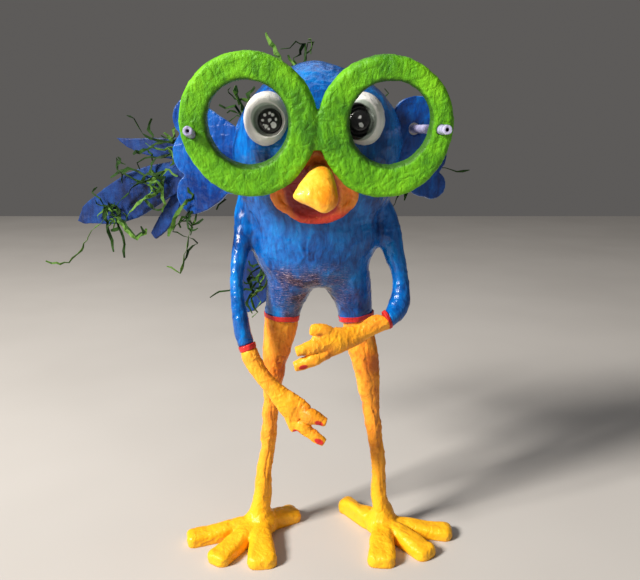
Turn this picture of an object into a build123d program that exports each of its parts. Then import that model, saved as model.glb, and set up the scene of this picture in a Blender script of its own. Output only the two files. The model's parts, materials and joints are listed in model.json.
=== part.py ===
from build123d import *
import os
from math import cos, hypot, radians, sin

# Papier-mache alebrije bird with spectacles.
# Millimetres. +X is the viewer's right, +Y goes away from the viewer, +Z is up.
# "right" and "left" are the bird's own right and left.

# Place of the figure in the frame (midpoint between the ankles)
FIGURE_X = 71.2
FIGURE_Y = -5.2

# Skin and filling
SKIN = 4.0
NECK_Z = 326.0
HEM_Z = 230.0
HEM_BAND_HEIGHT = 6.5
HEM_BAND_STEP = 0.9

# Spectacles
LENS_Y = -85.0
LENS_Z = 417.0
LENS_LEAN = 12.5
RING_THICKNESS = 14.6
RING_ROUND = 4.5
BRIDGE_WIDTH = 26.0
BRIDGE_HEIGHT = 30.5
BRIDGE_DROP = 6.2
BRIDGE_THICKNESS = 12.0
ROD_ENDS = {
    -1: [(-100.2, -108.0, 409.8), (-108.0, 20.0, 396.0)],
    1: [(98.6, -108.0, 410.6), (88.0, 20.0, 413.6)],
}
ROD_RADIUS = 3.75
ROD_BORE = 1.25
EAR_HOLE_RADIUS = 6.0

# Rims, hand-made and uneven: (outer x, outer rise, outer radius, hole x, hole rise, hole radius)
RIMS = [
    (-55.8, -1.4, 55.2, -56.3, 0.0, 32.5),
    (53.1, -3.4, 54.2, 56.3, 0.0, 32.2),
]

# Ears
EAR_THICKNESS = 5.0
EAR_SWEEP = 15.0
EAR_ROOT_X = 80.0
EAR_ROOT_Y = 7.0
EAR_MID_Z = 385.0

# Ear scallops as (start, middle, end): outward and upward from the middle of the ear root
EAR_LOBES = {
    -1: [
        ((-14, 25), (8, 37), (24, 48)),
        ((24, 48), (56, 51), (54, 24)),
        ((54, 24), (62.5, 7), (50, -15)),
        ((50, -15), (60, -36), (43, -53)),
        ((43, -53), (27, -47), (8, -32)),
    ],
    1: [
        ((-14, 32), (6, 58), (29, 52)),
        ((29, 52), (42, 46), (35, 26)),
        ((35, 26), (43, 4), (36, -12)),
        ((36, -12), (42, -30), (22, -35)),
        ((22, -35), (11, -32), (2, -24)),
    ],
}

# Mouth
MOUTH_X = -3.5
MOUTH_Z = 364.5
MOUTH_Y = -61.5
MOUTH_LEAN = 10.5
LIP_WIDTH = 6.5
LIP_DEPTH = 5.0
MOUTH_DEPTH = 7.0
MOUTH_FLOOR = 4.0

# Eyes
EYE_X = {-1: -43.5, 1: 36.0}
PUPIL_X = {-1: -40.8, 1: 33.6}
EYE_Z = 420.0
PUPIL_Z = 418.5
EYE_PROFILE = [(-20, 1.0), (-50, 1.0), (-60, 0.95), (-66, 0.8), (-69, 0.66)]
EYE_HALF_WIDTH = 19.5
EYE_HALF_HEIGHT = 22.5
IRIS_RADIUS = 12.0
IRIS_FLOOR_Y = -62.0
PUPIL_RADIUS = 9.5
PUPIL_RISE = 4.5

# Limbs
LEG_WIRE_RADIUS = 1.6
ARM_WIRE_RADIUS = 1.3
TOE_HEIGHT = 16.5
TOE_ROUND = 6.5
ANKLE_Z = 27.0

# Card blades and paper shred
FEATHER_THICKNESS = 3.0
STRIP_THICKNESS = 1.0
STRIP_WIDTH = 3.6
FOLD_SWING = 2.6
KNOT_SIZE = (8.0, 7.0, 7.5)
KNOT_TURN = (17.0, 23.0, 11.0)

# Stations of the trunk and head: (x, y, z, half width, half depth)
TORSO_STATIONS = [
    (-2, -4, 268, 30, 17),
    (-3, -4, 275, 48, 30),
    (-5, -4, 288, 53.5, 36.5),
    (-4, -4, 306, 60, 40),
    (-4, -4, NECK_Z, 59, 43),
]
SHORTS_STATIONS = [
    (36.8, 0, HEM_Z, 16.4, 16.4),
    (34, -1, 246, 18.4, 19.5),
    (27, -3, 266, 24, 24.5),
    (21, -4, 288, 25, 26),
]
HEAD_STATIONS = [
    (-4, -4, NECK_Z, 59, 43),
    (-4, -4, 345, 66, 48),
    (-3, -4, 368, 74, 57),
    (-2, -4, 392, 77.5, 62),
    (0, -4, 416, 75, 60),
    (0, -4, 438, 62, 50),
    (-2, -4, 455, 41, 34),
    (-3, -4, 465, 20, 17),
    (-3, -4, 469, 7, 6),
]

# Limb stations: (x, y, z, half width, half thickness)
LEG_RIGHT = [
    (-37.0, 0, HEM_Z, 15.4, 15.2),
    (-39.8, 0, 208, 14.7, 14.2),
    (-45.0, 0, 179, 11.0, 11.0),
    (-48.2, 0, 146, 8.4, 8.4),
    (-51.5, 0, 110, 7.4, 7.4),
    (-57.0, 0, 62, 8.1, 8.1),
    (-61.3, 0, ANKLE_Z, 9.9, 9.9),
]
LEG_LEFT = [
    (37.8, 0, HEM_Z, 15.0, 15.0),
    (42.6, 0, 203, 14.5, 14.2),
    (48.8, 0, 170, 11.9, 11.9),
    (52.6, 0, 140, 9.0, 9.0),
    (57.0, 0, 110, 7.5, 7.5),
    (61.8, 0, 68, 7.6, 7.6),
    (66.2, 0, ANKLE_Z, 9.9, 9.9),
]
ARM_RIGHT = [
    (-52, 2, 355, 12, 12),
    (-66, -3, 344, 12.8, 12),
    (-70, -12, 318, 11, 10.5),
    (-75.4, -22, 290, 7.1, 7.6),
    (-75.2, -32, 258, 6.8, 7.2),
    (-70, -38, 225, 7.6, 7.6),
    (-67.3, -38.9, 217.5, 7.9, 7.9),
]
CUFF_RIGHT = [
    (-67.3, -38.9, 217.5, 8.5, 8.5),
    (-65.6, -39.6, 212.8, 8.2, 8.2),
]
PALM_RIGHT = [
    (-65.6, -39.6, 212.8, 7.7, 7.7),
    (-54.5, -43.5, 191, 7.6, 7.2),
    (-38.5, -47, 173, 9.0, 6.8),
    (-25, -50, 160.5, 12.6, 6.2),
    (-16, -51.5, 152.5, 11, 5.2),
]
FINGERS_RIGHT = [
    [(-21, -50.5, 157, 5.4, 5.0), (-6, -54, 151.5, 5.4, 4.8), (7, -56.5, 147.5, 4.0, 3.6)],
    [(-23, -50.5, 146, 5.6, 5.0), (-8, -54, 135.5, 5.6, 4.8), (5.5, -56.5, 127, 4.0, 3.6)],
    [(-29, -49, 158, 5.6, 5.0), (-26, -50, 147, 5.2, 4.6), (-22.5, -50.5, 136.5, 3.6, 3.2)],
]
ARM_LEFT = [
    (48, 2, 346, 11.5, 11.5),
    (61, -1, 337, 11.2, 11.2),
    (66.5, -4, 316, 12.8, 11.0),
    (74.4, -8, 288, 8.6, 8.8),
    (78.2, -14, 264, 8.6, 8.8),
    (69.5, -27.5, 242.5, 8.8, 8.8),
    (63.5, -31, 239.6, 8.6, 8.6),
]
CUFF_LEFT = [
    (63.5, -31, 239.6, 9.1, 9.1),
    (58.6, -33.5, 237.6, 8.9, 8.9),
]
PALM_LEFT = [
    (58.6, -33.5, 237.6, 8.3, 8.3),
    (43, -40, 231.5, 8.4, 7.6),
    (29, -45, 226.5, 10.0, 7.0),
    (14, -50.5, 224, 13.2, 6.4),
    (2, -53.5, 221, 12.4, 5.4),
    (-4, -55, 219, 9.0, 4.4),
]
FINGERS_LEFT = [
    [(14, -50.5, 229, 6.2, 5.4), (3, -52, 234.5, 6.2, 5.6), (-7.5, -53, 236, 4.6, 4.4)],
    [(8, -53, 222, 6.0, 5.4), (-9, -57.5, 220, 5.8, 5.4), (-20.5, -60, 217, 4.4, 4.2)],
    [(8, -53, 214.5, 6.0, 5.4), (-9, -57.5, 207.5, 6.0, 5.6), (-22.5, -60, 203, 4.6, 4.4)],
]

# Where each arm wire bends inside its sleeve
ARM_BENDS_RIGHT = [(-64, -3, 337), (-74.8, -22, 290), (-70, -37.6, 225)]
ARM_BENDS_LEFT = [(61, -1, 337), (74.4, -8, 288), (77, -21, 250)]

# Toes: (tip x, tip y, half width at the tip, half width at the ankle)
ANKLE_RIGHT = (-62.0, 0.0)
ANKLE_LEFT = (67.0, 0.0)
TOES_RIGHT = [(-54, -68, 14.5, 9), (-102, -61, 12, 8.5), (-135, -25, 11, 8.5), (-24, 26, 12, 9)]
TOES_LEFT = [(60, -66, 14, 9), (110, -51, 12, 8.5), (138, -12, 11.5, 8.5), (23, 37, 12, 10.5)]

# Beak
BEAK_X = -3.0

# Beak stations along its curved ridge: (y, z, half width, half height, pitch)
BEAK_STATIONS = [
    (-54, 377, 8.5, 8.5, 20),
    (-66, 374.5, 10.5, 9.5, 24),
    (-77, 369, 15.0, 10.5, 36),
    (-86, 361.5, 16.8, 9.8, 48),
    (-93, 353.5, 12.0, 7.6, 58),
    (-96.5, 346.5, 5.0, 3.8, 66),
]

# Feathers: root, tip, half width above, half width below, where they are widest along the length
FEATHERS = {
    "feather_large": ((-35, 27, 385), (-267, 112, 324), 24.0, 24.0, 0.66),
    "feather_upper": ((-30, 28, 407), (-219, 104, 404), 3.5, 20.0, 0.5),
    "feather_lower": ((-116, 58.5, 380), (-184, 100, 297), 10.0, 10.0, 0.6),
    "feather_hanging": ((-28, 20, 322), (-77, 78, 216), 12.5, 12.5, 0.62),
}

# Shred tufts: what they are glued to, knot place, then strands of (end point, sag, folds)
TUFTS = {
    "tuft_crest": (
        "head",
        (-22, 31.5, 455),
        [
            ((-48, 38, 494), 5, 8),
            ((-8, 42, 494), -3, 8),
            ((-62, 46, 476), 8, 8),
            ((14, 47, 484), 7, 8),
            ((-28, 70, 486), 4, 9),
        ],
    ),
    "tuft_nape": (
        "head",
        (-48, 42.5, 424),
        [((-84, 70, 448), 5, 9), ((-106, 76, 430), 8, 10), ((-66, 84, 458), 4, 9)],
    ),
    "tuft_left_ear": (
        "head",
        (57, 40.5, 388),
        [
            ((112, 60, 402), 7, 11),
            ((146, 57, 378), 9, 13),
            ((98, 66, 430), 5, 10),
            ((92, 63, 352), 7, 9),
        ],
    ),
    "tuft_tail_upper": (
        "feather_upper",
        (-126.6, 60.9, 397),
        [
            ((-158, 60, 426), 5, 9),
            ((-200, 74, 408), 9, 12),
            ((-134, 52, 424), 4, 7),
            ((-180, 64, 378), 10, 10),
        ],
    ),
    "tuft_tail_middle": (
        "feather_large",
        (-165.0, 67.6, 351.5),
        [
            ((-204, 69, 296), 7, 11),
            ((-176, 60, 284), 7, 11),
            ((-216, 72, 360), 9, 10),
            ((-138, 54, 312), 6, 9),
        ],
    ),
    "tuft_tail_tip": (
        "feather_large",
        (-233.9, 94, 333),
        [
            ((-290, 97, 276), 5, 13),
            ((-262, 84, 300), 6, 9),
            ((-236, 78, 286), 5, 9),
            ((-256, 86, 366), 5, 7),
        ],
    ),
    "tuft_right_ear": (
        "ear_right",
        (-116.3, 23.5, 348),
        [
            ((-146, 42, 264), 6, 10),
            ((-168, 46, 288), 8, 10),
            ((-100, 38, 318), 5, 6),
            ((-134, 50, 300), 5, 7),
        ],
    ),
    "tuft_hip": (
        "torso",
        (-48, 22, 282),
        [
            ((-98, 36, 252), 7, 9),
            ((-72, 41, 222), 5, 9),
            ((-60, 30, 236), 5, 8),
            ((-104, 33, 270), 8, 9),
        ],
    ),
}


def spot(x, y, z):
    """A point given from the midpoint between the ankles."""
    return Vector(x + FIGURE_X, y + FIGURE_Y, z)


def mirrored(stations, side):
    """The same stations on the left (+1) or right (-1) side."""
    return [(side * row[0],) + tuple(row[1:]) for row in stations]


def upright_loft(stations, inset=0.0):
    """Loft level ellipses into the open part."""
    rings = []
    for x, y, z, half_x, half_y in stations:
        with BuildSketch(Plane(spot(x, y, z))) as ring:
            Ellipse(half_x - inset, half_y - inset)
        rings.append(ring.sketch)
    loft(rings)


def path_planes(stations, first_along=None, last_along=None):
    """Planes square to the path through the stations."""
    points = [spot(row[0], row[1], row[2]) for row in stations]
    planes = []
    for index, point in enumerate(points):
        before = points[max(index - 1, 0)]
        after = points[min(index + 1, len(points) - 1)]
        along = (after - before).normalized()
        if index == 0 and first_along is not None:
            along = first_along
        if index == len(points) - 1 and last_along is not None:
            along = last_along
        across = Vector(0, 1, 0).cross(along).normalized()
        planes.append(Plane(point, x_dir=across, z_dir=along))
    return planes


def path_loft(stations, first_along=None, last_along=None):
    """Loft oval sections along a path into the open part."""
    rings = []
    for plane, row in zip(path_planes(stations, first_along, last_along), stations):
        with BuildSketch(plane) as ring:
            Ellipse(row[3], row[4])
        rings.append(ring.sketch)
    loft(rings)


def direction(start, end):
    """Unit vector from one station to another."""
    return (spot(*end[:3]) - spot(*start[:3])).normalized()


def make_torso_form():
    """Outside of the trunk with its two shorts legs."""
    with BuildPart() as torso_form:
        upright_loft(TORSO_STATIONS)
        upright_loft(SHORTS_STATIONS)
        upright_loft(mirrored(SHORTS_STATIONS, -1))
    return torso_form.part


def make_torso_hollow():
    """Inside of the trunk skin."""
    low = TORSO_STATIONS[0][2]
    raised = []
    for x, y, z, half_x, half_y in TORSO_STATIONS:
        lift = SKIN * ((NECK_Z - z) / (NECK_Z - low)) ** 2
        raised.append((x, y, z + lift, half_x, half_y))
    with BuildPart() as torso_hollow:
        upright_loft(raised, SKIN)
        upright_loft(SHORTS_STATIONS, SKIN)
        upright_loft(mirrored(SHORTS_STATIONS, -1), SKIN)
    return torso_hollow.part


def make_head_form():
    """Outside of the head."""
    with BuildPart() as head_form:
        upright_loft(HEAD_STATIONS)
    return head_form.part


def make_head_hollow():
    """Inside of the head skin."""
    top = HEAD_STATIONS[-1][2]
    lowered = []
    for x, y, z, half_x, half_y in HEAD_STATIONS:
        drop = SKIN * ((z - NECK_Z) / (top - NECK_Z)) ** 2
        lowered.append((x, y, z - drop, half_x, half_y))
    with BuildPart() as head_hollow:
        upright_loft(lowered, SKIN)
    return head_hollow.part


def mouth_plane(depth):
    """Plane parallel to the front of the lips, set back by a depth."""
    lean = radians(MOUTH_LEAN)
    front = Vector(0, -cos(lean), -sin(lean))
    origin = spot(MOUTH_X, MOUTH_Y, MOUTH_Z) - front * depth
    return Plane(origin, x_dir=(1, 0, 0), z_dir=front)


def mouth_outline(depth, shrink):
    """Rounded three-cornered mouth outline at a depth."""
    with BuildSketch(mouth_plane(depth)) as outline:
        with Locations((2, 20)):
            Circle(11 - shrink)
        with Locations((-23, -8), (23, -8)):
            Circle(15 - shrink)
        with Locations((4, -12.5)):
            Circle(21.5 - shrink)
        make_hull()
    return outline.sketch


def make_mouth_seats():
    """The places cut into the head for the lips and for the mouth dish."""
    with BuildPart() as mouth_seats:
        extrude(mouth_outline(LIP_DEPTH, 0), amount=LIP_DEPTH + 20)
        extrude(mouth_outline(MOUTH_DEPTH + MOUTH_FLOOR, LIP_WIDTH), amount=MOUTH_DEPTH + MOUTH_FLOOR + 20)
    return mouth_seats.part


def make_lip(head_left_over, torso_form, beak):
    """Raised orange rim round the mouth."""
    with BuildPart() as lip:
        extrude(mouth_outline(16, 0), amount=16)
        extrude(mouth_outline(16, LIP_WIDTH), amount=16, mode=Mode.SUBTRACT)
        add(head_left_over, mode=Mode.SUBTRACT)
        add(torso_form, mode=Mode.SUBTRACT)
        add(beak, mode=Mode.SUBTRACT)
    return lip.part


def make_mouth(beak):
    """Hollowed dish that lines the mouth."""
    with BuildPart() as mouth:
        extrude(mouth_outline(MOUTH_DEPTH + MOUTH_FLOOR, LIP_WIDTH), amount=MOUTH_FLOOR + 3)
        extrude(mouth_outline(MOUTH_DEPTH, LIP_WIDTH + 3), amount=MOUTH_DEPTH, mode=Mode.SUBTRACT)
        add(beak, mode=Mode.SUBTRACT)
    return mouth.part


def make_beak(head_form):
    """Hooked bill with a ridge and a hollow underside."""
    rings = []
    for y, z, half_x, half_z, pitch in BEAK_STATIONS:
        tilt = radians(pitch)
        along = Vector(0, -cos(tilt), -sin(tilt))
        with BuildSketch(Plane(spot(BEAK_X, y, z), x_dir=(1, 0, 0), z_dir=along)) as ring:
            Ellipse(half_x, half_z)
        rings.append(ring.sketch)
    with BuildPart() as beak:
        loft(rings)
        with Locations(spot(BEAK_X, -79, 348)):
            Sphere(10, mode=Mode.SUBTRACT)
        add(head_form, mode=Mode.SUBTRACT)
    return beak.part


def pupil_plane(side):
    """Floor of the sunk iris, set a little toward the beak."""
    return Plane(spot(PUPIL_X[side], IRIS_FLOOR_Y, PUPIL_Z), x_dir=(1, 0, 0), z_dir=(0, -1, 0))


def make_eye(side, head_form):
    """White eye cup with a sunk iris."""
    rings = []
    for y, share in EYE_PROFILE:
        with BuildSketch(Plane(spot(EYE_X[side], y, EYE_Z), x_dir=(1, 0, 0), z_dir=(0, -1, 0))) as ring:
            Ellipse(EYE_HALF_HEIGHT * share, EYE_HALF_WIDTH * share, rotation=90)
        rings.append(ring.sketch)
    with BuildPart() as eye:
        loft(rings)
        with BuildSketch(pupil_plane(side)):
            Circle(IRIS_RADIUS)
        extrude(amount=20, taper=-8, mode=Mode.SUBTRACT)
        add(head_form, mode=Mode.SUBTRACT)
    return eye.part


def make_pupil(side):
    """Black domed pupil standing on the iris floor."""
    with BuildPart() as pupil:
        with BuildSketch(pupil_plane(side)):
            Circle(PUPIL_RADIUS)
        extrude(amount=PUPIL_RISE)
        fillet(pupil.edges().sort_by(Axis.Y)[0], PUPIL_RISE * 0.7)
    return pupil.part


def ear_plane(side):
    """Middle plane of one ear, swept back from the head."""
    sweep = radians(EAR_SWEEP)
    out = Vector(side * cos(sweep), sin(sweep), 0)
    back = Vector(-side * sin(sweep), cos(sweep), 0)
    return Plane(spot(side * EAR_ROOT_X, EAR_ROOT_Y, EAR_MID_Z), x_dir=out, z_dir=back)


def make_ear(side, forms):
    """Scalloped card ear with a hole for the spectacle rod."""
    lobes = EAR_LOBES[side]
    last = lobes[-1][2]
    up = 1 if ear_plane(side).y_dir.Z > 0 else -1
    with BuildPart() as ear:
        with BuildSketch(ear_plane(side)):
            with BuildLine():
                for start, middle, end in lobes:
                    ThreePointArc((start[0], start[1] * up), (middle[0], middle[1] * up), (end[0], end[1] * up))
                Line((last[0], last[1] * up), (-14, last[1] * up))
                Line((-14, last[1] * up), (-14, lobes[0][0][1] * up))
            make_face()
        extrude(amount=EAR_THICKNESS / 2, both=True)
        along = (rod_point(side, 1) - rod_point(side, 0)).normalized()
        with BuildSketch(Plane(rod_point(side, 0), z_dir=along)):
            Circle(EAR_HOLE_RADIUS)
        extrude(amount=160, mode=Mode.SUBTRACT)
        for form in forms:
            add(form, mode=Mode.SUBTRACT)
    return ear.part


def rod_point(side, end):
    """Front (0) or back (1) end of a spectacle rod."""
    return spot(*ROD_ENDS[side][end])


def make_temple_rod(side):
    """Rolled-paper tube that runs back from the frame through the ear."""
    start = rod_point(side, 0)
    run = rod_point(side, 1) - start
    with BuildPart() as temple_rod:
        with BuildSketch(Plane(start, z_dir=run.normalized())):
            Circle(ROD_RADIUS)
            Circle(ROD_BORE, mode=Mode.SUBTRACT)
        extrude(amount=run.length)
    return temple_rod.part


def make_rim(outer_x, outer_rise, outer_radius, hole_x, hole_rise, hole_radius):
    """One thick round rim with softened edges."""
    with BuildPart() as rim:
        with BuildSketch(lens_plane()):
            with Locations((outer_x, outer_rise)):
                Circle(outer_radius)
            with Locations((hole_x, hole_rise)):
                Circle(hole_radius, mode=Mode.SUBTRACT)
        extrude(amount=RING_THICKNESS / 2, both=True)
        fillet(rim.edges().filter_by(GeomType.CIRCLE), RING_ROUND)
    return rim.part


def lens_plane():
    """Middle plane of the rims, leaning forward at the top."""
    lean = radians(LENS_LEAN)
    return Plane(spot(0, LENS_Y, LENS_Z), x_dir=(1, 0, 0), z_dir=(0, -cos(lean), -sin(lean)))


def make_glasses_frame():
    """Two thick round rims joined by a bridge."""
    rims = [make_rim(*rim) for rim in RIMS]
    with BuildPart() as glasses_frame:
        for rim in rims:
            add(rim)
        with BuildSketch(lens_plane()):
            with Locations((0, -BRIDGE_DROP)):
                RectangleRounded(BRIDGE_WIDTH, BRIDGE_HEIGHT, 4)
        extrude(amount=BRIDGE_THICKNESS / 2, both=True)
        for side in (-1, 1):
            along = (rod_point(side, 1) - rod_point(side, 0)).normalized()
            with BuildSketch(Plane(rod_point(side, 0), z_dir=along)):
                Circle(ROD_RADIUS)
            extrude(amount=60, mode=Mode.SUBTRACT)
    return glasses_frame.part


def make_leg(stations, wire):
    """Papier-mache leg cover round its wire."""
    with BuildPart() as leg:
        upright_loft(stations)
        add(wire, mode=Mode.SUBTRACT)
    return leg.part


def make_wire(points, radius):
    """Bent wire: straight runs with round elbows."""
    places = [spot(*point[:3]) for point in points]
    with BuildPart() as wire:
        for start, end in zip(places, places[1:]):
            with BuildSketch(Plane(start, z_dir=(end - start).normalized())) as cut:
                Circle(radius)
            extrude(cut.sketch, amount=(end - start).length)
        for place in places[1:-1]:
            with Locations(place):
                Sphere(radius)
    return wire.part


def make_leg_wire(stations, ankle):
    """Wire from the foot through the leg into the trunk filling."""
    hip = stations[0][0]
    bends = [stations[-1], stations[-3], stations[-5], stations[0]]
    inside = [(hip * 0.85, -2, 262), (hip * 0.62, -3, 292)]
    return make_wire([(ankle[0], 0, 7)] + bends + inside, LEG_WIRE_RADIUS)


def make_toe(ankle, tip_x, tip_y, tip_half, root_half):
    """One flat-soled toe with a rounded back."""
    run_x = tip_x - ankle[0]
    run_y = tip_y - ankle[1]
    length = hypot(run_x, run_y)
    ux, uy = run_x / length, run_y / length
    corner = tip_half * 0.62
    spread = tip_half - corner
    near = length - corner
    with BuildPart() as toe:
        with BuildSketch(Plane(spot(0, 0, 0))):
            with Locations((ankle[0], ankle[1])):
                Circle(root_half)
            with Locations((ankle[0] + ux * near - uy * spread, ankle[1] + uy * near + ux * spread)):
                Circle(corner)
            with Locations((ankle[0] + ux * near + uy * spread, ankle[1] + uy * near - ux * spread)):
                Circle(corner)
            make_hull()
        extrude(amount=TOE_HEIGHT)
        fillet(toe.faces().sort_by(Axis.Z)[-1].edges(), TOE_ROUND)
    return toe.part


def make_foot(ankle, toes, wire):
    """Four toes gathered under the ankle."""
    parts = [make_toe(ankle, *toe) for toe in toes]
    with BuildPart() as foot:
        for toe in parts:
            add(toe)
        upright_loft(
            [
                (ankle[0], 0, 3, 18, 18),
                (ankle[0], 0, 12, 17.5, 17.5),
                (ankle[0] * 0.995, 0, 20, 13, 13),
                (ankle[0] * 0.99, 0, ANKLE_Z, 9.9, 9.9),
            ]
        )
        add(wire, mode=Mode.SUBTRACT)
    return foot.part


def make_hem_band(side, torso_form):
    """Painted rope-like band round the end of one shorts leg."""
    with BuildPart() as hem_band:
        upright_loft(mirrored(SHORTS_STATIONS, side), -HEM_BAND_STEP)
        split(bisect_by=Plane(spot(0, 0, HEM_Z + HEM_BAND_HEIGHT)), keep=Keep.BOTTOM)
        add(torso_form, mode=Mode.SUBTRACT)
    return hem_band.part


def make_sleeve(stations, cuff_along, forms, wire):
    """Arm cover from the shoulder to the cuff."""
    with BuildPart() as sleeve:
        path_loft(stations, last_along=cuff_along)
        for form in forms:
            add(form, mode=Mode.SUBTRACT)
        add(wire, mode=Mode.SUBTRACT)
    return sleeve.part


def make_cuff(stations, wire):
    """Band between the sleeve and the bare wrist."""
    with BuildPart() as cuff:
        path_loft(stations)
        add(wire, mode=Mode.SUBTRACT)
    return cuff.part


def make_hand(palm, fingers, cuff_along, wire):
    """Bare wrist, palm and three fingers."""
    with BuildPart() as hand:
        path_loft(palm, first_along=cuff_along)
        for finger in fingers:
            path_loft(finger)
        add(wire, mode=Mode.SUBTRACT)
    return hand.part


def make_arm_wire(arm, bends, cuff, palm):
    """Wire from the trunk filling to the palm."""
    inside = (arm[0][0] * 0.5, arm[0][1] + 1.5, arm[0][2] - 4)
    wrist = tuple((a + b) / 2 for a, b in zip(cuff[0][:3], cuff[1][:3]))
    return make_wire([inside] + bends + [wrist, palm[1], palm[3]], ARM_WIRE_RADIUS)


def make_feather(root, tip, above, below, widest, forms):
    """Flat leaf-shaped card feather."""
    start = spot(*root)
    run = spot(*tip) - start
    along = run.normalized()
    place = Plane(start, x_dir=along, z_dir=along.cross(Vector(0, 0, 1)).normalized())
    if place.y_dir.Z < 0:
        above, below = below, above
    length = run.length
    with BuildPart() as feather:
        with BuildSketch(place):
            with BuildLine():
                Spline(
                    (0, 4),
                    (length * 0.3, 4 + above * 0.3),
                    (length * widest, above),
                    (length * 0.93, above * 0.5),
                    (length, 0),
                )
                Spline(
                    (length, 0),
                    (length * 0.93, -below * 0.5),
                    (length * widest, -below),
                    (length * 0.3, -4 - below * 0.3),
                    (0, -4),
                )
                Line((0, -4), (0, 4))
            make_face()
        extrude(amount=FEATHER_THICKNESS / 2, both=True)
        for form in forms:
            add(form, mode=Mode.SUBTRACT)
    return feather.part


def strand(knot, end, sag, folds, order):
    """Add one crinkled paper strip to the open part."""
    start = spot(*knot) + Vector(0.31 * order, 0.17 * order, 0.43 * order)
    run = spot(*end) - start
    along = run.normalized()
    side_way = Vector(0, 0, 1).cross(along).normalized()
    length = run.length
    upper = []
    lower = []
    for index in range(folds + 1):
        share = index / folds
        height = FOLD_SWING * (1 if index % 2 else -1) + 4 * sag * share * (1 - share)
        upper.append((length * share, height + STRIP_THICKNESS / 2))
        lower.append((length * share, height - STRIP_THICKNESS / 2))
    with BuildSketch(Plane(start, x_dir=along, z_dir=side_way)) as strip:
        Polygon(*(upper + list(reversed(lower))), align=None)
    extrude(strip.sketch, amount=STRIP_WIDTH / 2, both=True)


def make_tuft(host, knot, strands):
    """Bundle of crinkled strips glued on with one knot."""
    with BuildPart() as tuft:
        with Locations(Location(spot(*knot), KNOT_TURN)):
            Box(*KNOT_SIZE)
        add(host, mode=Mode.SUBTRACT)
        for order, (end, sag, folds) in enumerate(strands):
            strand(knot, end, sag, folds, order)
    return tuft.part


def save(part, label):
    """Name a sub-part and write it out."""
    part.label = label
    export_step(part, "parts/" + label + ".step")


os.makedirs("parts", exist_ok=True)

torso_form = make_torso_form()
head_form = make_head_form()
torso_hollow = make_torso_hollow()
head_hollow = make_head_hollow()
mouth_seats = make_mouth_seats()

leg_wires = [make_leg_wire(LEG_RIGHT, ANKLE_RIGHT), make_leg_wire(LEG_LEFT, ANKLE_LEFT)]
arm_wires = [
    make_arm_wire(ARM_RIGHT, ARM_BENDS_RIGHT, CUFF_RIGHT, PALM_RIGHT),
    make_arm_wire(ARM_LEFT, ARM_BENDS_LEFT, CUFF_LEFT, PALM_LEFT),
]

with BuildPart() as torso_shell:
    add(torso_form)
    add(torso_hollow, mode=Mode.SUBTRACT)
    for wire in arm_wires:
        add(wire, mode=Mode.SUBTRACT)

with BuildPart() as torso_core:
    add(torso_hollow)
    for wire in leg_wires + arm_wires:
        add(wire, mode=Mode.SUBTRACT)

with BuildPart() as head_left_over:
    add(head_form)
    add(mouth_seats, mode=Mode.SUBTRACT)

with BuildPart() as head_shell:
    add(head_left_over.part)
    add(head_hollow, mode=Mode.SUBTRACT)
    for wire in arm_wires:
        add(wire, mode=Mode.SUBTRACT)

with BuildPart() as head_core:
    add(head_hollow)
    add(mouth_seats, mode=Mode.SUBTRACT)
    for wire in arm_wires:
        add(wire, mode=Mode.SUBTRACT)

save(torso_shell.part, "torso_shell")
save(torso_core.part, "torso_core")
save(head_shell.part, "head_shell")
save(head_core.part, "head_core")

beak = make_beak(head_left_over.part)
lip = make_lip(head_left_over.part, torso_form, beak)
mouth = make_mouth(beak)
save(beak, "beak")
save(lip, "lip")
save(mouth, "mouth")

body_forms = [torso_form, head_form]
sleeves = []
for side, name, arm, cuff, palm, fingers, wire in [
    (-1, "right", ARM_RIGHT, CUFF_RIGHT, PALM_RIGHT, FINGERS_RIGHT, arm_wires[0]),
    (1, "left", ARM_LEFT, CUFF_LEFT, PALM_LEFT, FINGERS_LEFT, arm_wires[1]),
]:
    cuff_along = direction(cuff[0], cuff[1])
    sleeve = make_sleeve(arm, cuff_along, body_forms, wire)
    sleeves.append(sleeve)
    save(sleeve, "sleeve_" + name)
    save(make_cuff(cuff, wire), "cuff_" + name)
    save(make_hand(palm, fingers, cuff_along, wire), "hand_" + name)
    save(wire, "arm_wire_" + name)

for side, name, leg, ankle, toes, wire in [
    (-1, "right", LEG_RIGHT, ANKLE_RIGHT, TOES_RIGHT, leg_wires[0]),
    (1, "left", LEG_LEFT, ANKLE_LEFT, TOES_LEFT, leg_wires[1]),
]:
    save(make_leg(leg, wire), "leg_" + name)
    save(make_foot(ankle, toes, wire), "foot_" + name)
    save(make_hem_band(side, torso_form), "hem_band_" + name)
    save(wire, "leg_wire_" + name)

hosts = {"head": head_form, "torso": torso_form}
for side, name, sleeve in [(-1, "right", sleeves[0]), (1, "left", sleeves[1])]:
    hosts["ear_" + name] = make_ear(side, body_forms + [sleeve])
    save(hosts["ear_" + name], "ear_" + name)
    save(make_eye(side, head_form), "eye_" + name)
    save(make_pupil(side), "pupil_" + name)
    save(make_temple_rod(side), "temple_rod_" + name)

save(make_glasses_frame(), "glasses_frame")

for label, (root, tip, above, below, widest) in FEATHERS.items():
    forms = body_forms + [hosts["feather_large"]] if label == "feather_lower" else body_forms
    hosts[label] = make_feather(root, tip, above, below, widest, forms)
    save(hosts[label], label)

for label, (host, knot, strands) in TUFTS.items():
    save(make_tuft(hosts[host], knot, strands), label)
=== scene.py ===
import json
import math
import random

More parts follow.
